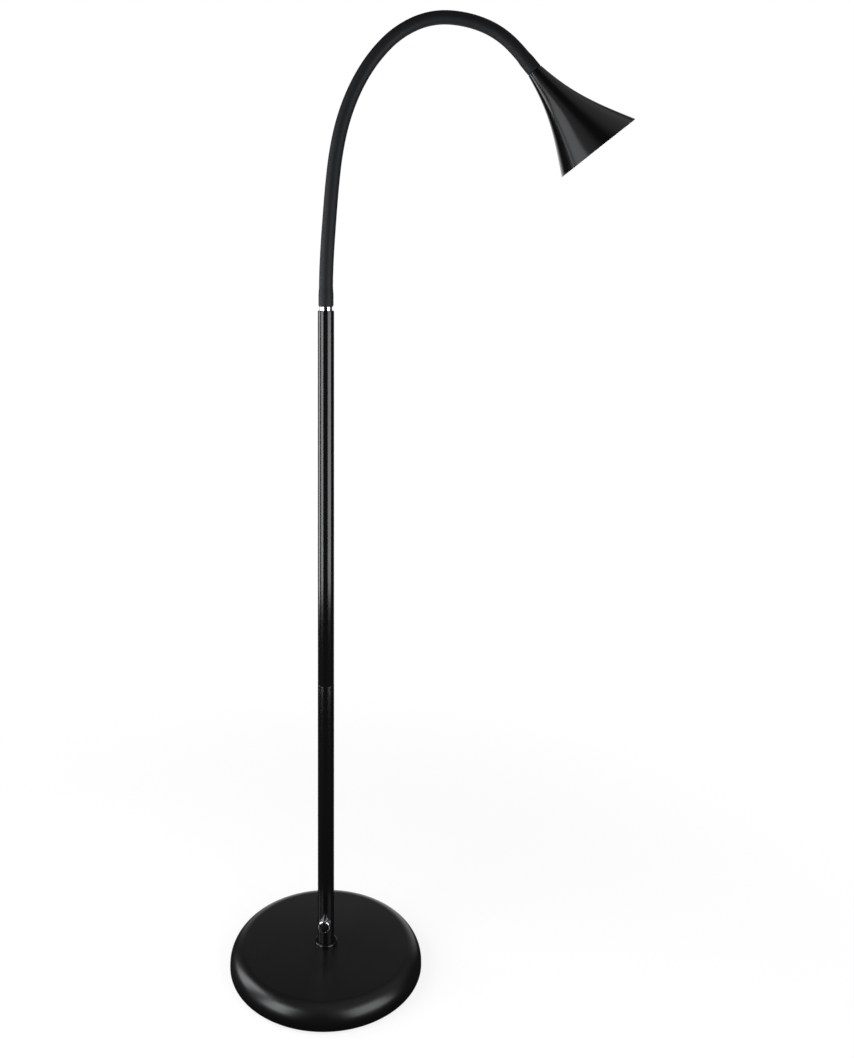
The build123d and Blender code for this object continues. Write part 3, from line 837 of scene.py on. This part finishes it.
# %% Give the remaining solids their finishes
node_finish = {
    "base_weight": IRON, "base_plate": ZINC, "base_pad": FOAM, "base_nipple": ZINC,
    "base_nut": ZINC, "cord_gland": GLAND_RUBBER, "switch_body": BLACK_PLASTIC,
    "switch_spring": ZINC, "switch_terminals": BRASS, "supply_lead": GLAND_RUBBER,
    "pole_lead": GLAND_RUBBER, "lower_ferrule": ZINC, "upper_ferrule": ZINC,
    "heat_sink": ALUMINIUM, "led_board": WHITE_PLASTIC, "led_emitter": PHOSPHOR,
}
node_finish.update({f"neck_core_{number}": ZINC for number in range(13)})
for node, finish in node_finish.items():
    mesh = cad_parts[node].data
    mesh.materials.clear()
    mesh.materials.append(finish)
print("finished", len(node_finish), "solids")

# %% [markdown]
# ## Studio
# The photograph has a plain white ground. Black paint shows nothing but what it mirrors, so
# the places and sizes of the lights draw the lamp's form. The bright bands on the pole tell
# where they stood: a band at an angle a from the middle of a round pole mirrors a light at
# 2 a. That gives three soft boxes, at 47 and 98 degrees to the left and 57 to the right. The
# bands fade out towards the foot, and the base mirrors the same boxes 20 to 50 degrees up, so
# they stand near the lamp and end a little above the floor. The shade mirrors a dimmer wall
# above them on the left, and a soft glow overhead on the right, which the world gives. The
# white sweep behind is in the colours of the floor and the world, so it adds no light.

# %% Name the studio's sizes and say who sees the white ground
SWEEP_EDGE = (0.78, 0.97)  # the Y part of a direction where the white sweep behind fades in
SWEEP_TOP = (0.50, 0.25)  # the Z part of a direction where the sweep ends above
GLOWS = [  # the unit direction of each soft glow, its fading and its colour
    ((0.416, 0.073, 0.906), (0.65, 0.97), "#a0a0a2"),
    ((-0.837, -0.483, 0.259), (0.78, 0.97), "#a0a2a4"),
]
LAMP_COOLNESS = (0.97, 0.99, 1.0)


def seen_white(tree, behind):
    """1 for the camera's rays, and for mirrored rays as far as they go to the sweep.

    It returns that share, and 1 for every mirrored ray wherever it goes.
    """
    ray = add_node(tree, "ShaderNodeLightPath")
    mirrored = add_node(
        tree, "ShaderNodeMath", {"operation": "ADD"},
        _0=ray.outputs["Is Glossy Ray"], _1=ray.outputs["Is Transmission Ray"],
    )
    on_sweep = add_node(
        tree, "ShaderNodeMath", {"operation": "MULTIPLY"},
        _0=mirrored.outputs[0], _1=behind.outputs[0],
    )
    share = add_node(
        tree, "ShaderNodeMath", {"operation": "MAXIMUM"},
        _0=ray.outputs["Is Camera Ray"], _1=on_sweep.outputs[0],
    )
    return share, mirrored


print("the sweep behind is", round(2 * np.degrees(np.arccos(SWEEP_EDGE[0]))), "degrees wide")

# %% [markdown]
# ## The floor
# The floor is white paper. To the camera it is plain white everywhere but near the lamp, where
# a fifth of it is lit paper that keeps the lamp's soft shadow. Mirrored rays see it white only
# straight behind the lamp. To everything else it is a dark grey carpet, so that it doesn't
# light the black paint from below. A paper floor lit to pure white would take more light, and
# that light would fall on the lamp too.

# %% Lay the floor
FLOOR = 30.0
SHADOW_FADE = (0.2, 0.9)  # the distances in metres between which the floor turns plain
PLAIN_BY_THE_LAMP = 0.8
floor_mesh = bpy.data.meshes.new("studio_floor")
floor_corners = [(-FLOOR, -FLOOR, 0), (FLOOR, -FLOOR, 0), (FLOOR, FLOOR, 0), (-FLOOR, FLOOR, 0)]
floor_mesh.from_pydata(floor_corners, [], [(0, 1, 2, 3)])
floor = bpy.data.objects.new("studio_floor", floor_mesh)
bpy.context.scene.collection.objects.link(floor)

paper, tree = new_material("white_studio_paper")
place = add_node(tree, "ShaderNodeTexCoord")
away = add_node(
    tree, "ShaderNodeVectorMath", {"operation": "LENGTH"}, _0=place.outputs["Object"]
)
plainness = add_node(
    tree, "ShaderNodeMapRange", {"interpolation_type": "SMOOTHSTEP"},
    Value=away.outputs["Value"],
    _1=SHADOW_FADE[0], _2=SHADOW_FADE[1], _3=PLAIN_BY_THE_LAMP, _4=1.0,
)
heading = add_node(
    tree, "ShaderNodeVectorMath", {"operation": "NORMALIZE"}, _0=place.outputs["Object"]
)
heading = add_node(tree, "ShaderNodeSeparateXYZ", Vector=heading.outputs["Vector"])
behind = add_node(
    tree, "ShaderNodeMapRange", {"interpolation_type": "SMOOTHSTEP"},
    Value=heading.outputs["Y"], _1=SWEEP_EDGE[0], _2=SWEEP_EDGE[1],
)
share, _ = seen_white(tree, behind)
matt = add_node(tree, "ShaderNodeBsdfDiffuse", Color=linear("#f4f4f4"))
carpet = add_node(tree, "ShaderNodeBsdfDiffuse", Color=linear("#303030"))
ground = add_node(
    tree, "ShaderNodeMixShader",
    _0=share.outputs[0], _1=carpet.outputs[0], _2=matt.outputs[0],
)
plain = add_node(tree, "ShaderNodeEmission", Color=linear("#ffffff"), Strength=1.0)
glow = add_node(
    tree, "ShaderNodeMath", {"operation": "MULTIPLY"},
    _0=share.outputs[0], _1=plainness.outputs[0],
)
lit = add_node(
    tree, "ShaderNodeMixShader",
    _0=glow.outputs[0], _1=ground.outputs[0], _2=plain.outputs[0],
)
set_surface(tree, lit)
floor.data.materials.append(paper)
print("floor is", 2 * FLOOR, "m across")

# %% [markdown]
# ## The world
# The world gives three things. Matt surfaces get an even grey light from all round. Mirrored
# rays meet a dark room with two soft glows in it, one overhead and one low on the left. The
# camera sees plain white, and so do mirrored rays that go low and straight behind the lamp.
# A picture of a real studio would give all this too, but it would be one more file.

# %% Light the world
world = bpy.data.worlds.new("studio")
bpy.context.scene.world = world
world.use_nodes = True
tree = world.node_tree
tree.nodes.clear()
place = add_node(tree, "ShaderNodeTexCoord")
heading = add_node(tree, "ShaderNodeSeparateXYZ", Vector=place.outputs["Generated"])
low = add_node(
    tree, "ShaderNodeMapRange", {"interpolation_type": "SMOOTHSTEP"},
    Value=heading.outputs["Z"], _1=SWEEP_TOP[0], _2=SWEEP_TOP[1], _3=0.0, _4=1.0,
)
back = add_node(
    tree, "ShaderNodeMapRange", {"interpolation_type": "SMOOTHSTEP"},
    Value=heading.outputs["Y"], _1=SWEEP_EDGE[0], _2=SWEEP_EDGE[1], _3=0.0, _4=1.0,
)
behind = add_node(
    tree, "ShaderNodeMath", {"operation": "MULTIPLY"}, _0=low.outputs[0], _1=back.outputs[0]
)
share, mirrored = seen_white(tree, behind)
room = add_node(tree, "ShaderNodeBackground", Color=linear("#a8a8a8"), Strength=1.0)
dark = add_node(tree, "ShaderNodeBackground", Color=linear("#303032"), Strength=1.0)
white_ground = add_node(tree, "ShaderNodeBackground", Color=linear("#ffffff"), Strength=1.0)
upper = dark
for direction, fading, colour in GLOWS:
    towards = add_node(
        tree, "ShaderNodeVectorMath", {"operation": "DOT_PRODUCT"},
        _0=place.outputs["Generated"], _1=direction,
    )
    strength = add_node(
        tree, "ShaderNodeMapRange", {"interpolation_type": "SMOOTHSTEP"},
        Value=towards.outputs["Value"], _1=fading[0], _2=fading[1],
    )
    glow = add_node(tree, "ShaderNodeBackground", Color=linear(colour), Strength=1.0)
    upper = add_node(
        tree, "ShaderNodeMixShader",
        _0=strength.outputs[0], _1=upper.outputs[0], _2=glow.outputs[0],
    )
around = add_node(
    tree, "ShaderNodeMixShader",
    _0=mirrored.outputs[0], _1=room.outputs[0], _2=upper.outputs[0],
)
shown = add_node(
    tree, "ShaderNodeMixShader",
    _0=share.outputs[0], _1=around.outputs[0], _2=white_ground.outputs[0],
)
add_node(tree, "ShaderNodeOutputWorld", Surface=shown.outputs[0])
bpy.context.scene.view_settings.view_transform = "Standard"
print("studio floor and world are set")

# %% [markdown]
# ## The soft boxes
# A soft box is a rectangle that shines evenly, and a glossy surface mirrors it as one clean
# band. So each box's azimuth and width come from where its band lies on the round pole, and
# its foot and top from where the band ends. A spotlight would only leave a small bright dot.

# %% Hang the soft boxes


def soft_box(name, azimuth, degrees_wide, distance, foot, top, radiance):
    """A tall area light that looks level at the lamp, invisible to the camera itself.

    The azimuth counts from the front, positive towards +X. The box is as wide as its angle
    asks for, and its power is radiance * pi * area.
    """
    turn = np.radians(azimuth)
    width, height = 2 * distance * np.tan(np.radians(degrees_wide / 2)), top - foot
    light = bpy.data.lights.new(name, "AREA")
    light.shape = "RECTANGLE"
    light.size, light.size_y = width, height
    light.energy = radiance * np.pi * width * height
    light.color = LAMP_COOLNESS
    box = bpy.data.objects.new(name, light)
    bpy.context.scene.collection.objects.link(box)
    box.location = (np.sin(turn) * distance, -np.cos(turn) * distance, (foot + top) / 2)
    box.rotation_euler = (np.radians(90), 0, turn)
    box.visible_camera = False
    print(name, "is", round(width, 2), "m wide with", round(light.energy, 1), "W")


soft_box("left_soft_box", -47, 29, distance=0.8, foot=0.17, top=0.98, radiance=5.4)
soft_box("side_soft_box", -98, 26, distance=0.8, foot=0.17, top=0.98, radiance=4.6)
soft_box("right_soft_box", 57, 46, distance=0.8, foot=0.17, top=0.98, radiance=4.0)
soft_box("left_wall", -76, 62, distance=1.3, foot=1.0, top=1.65, radiance=1.5)
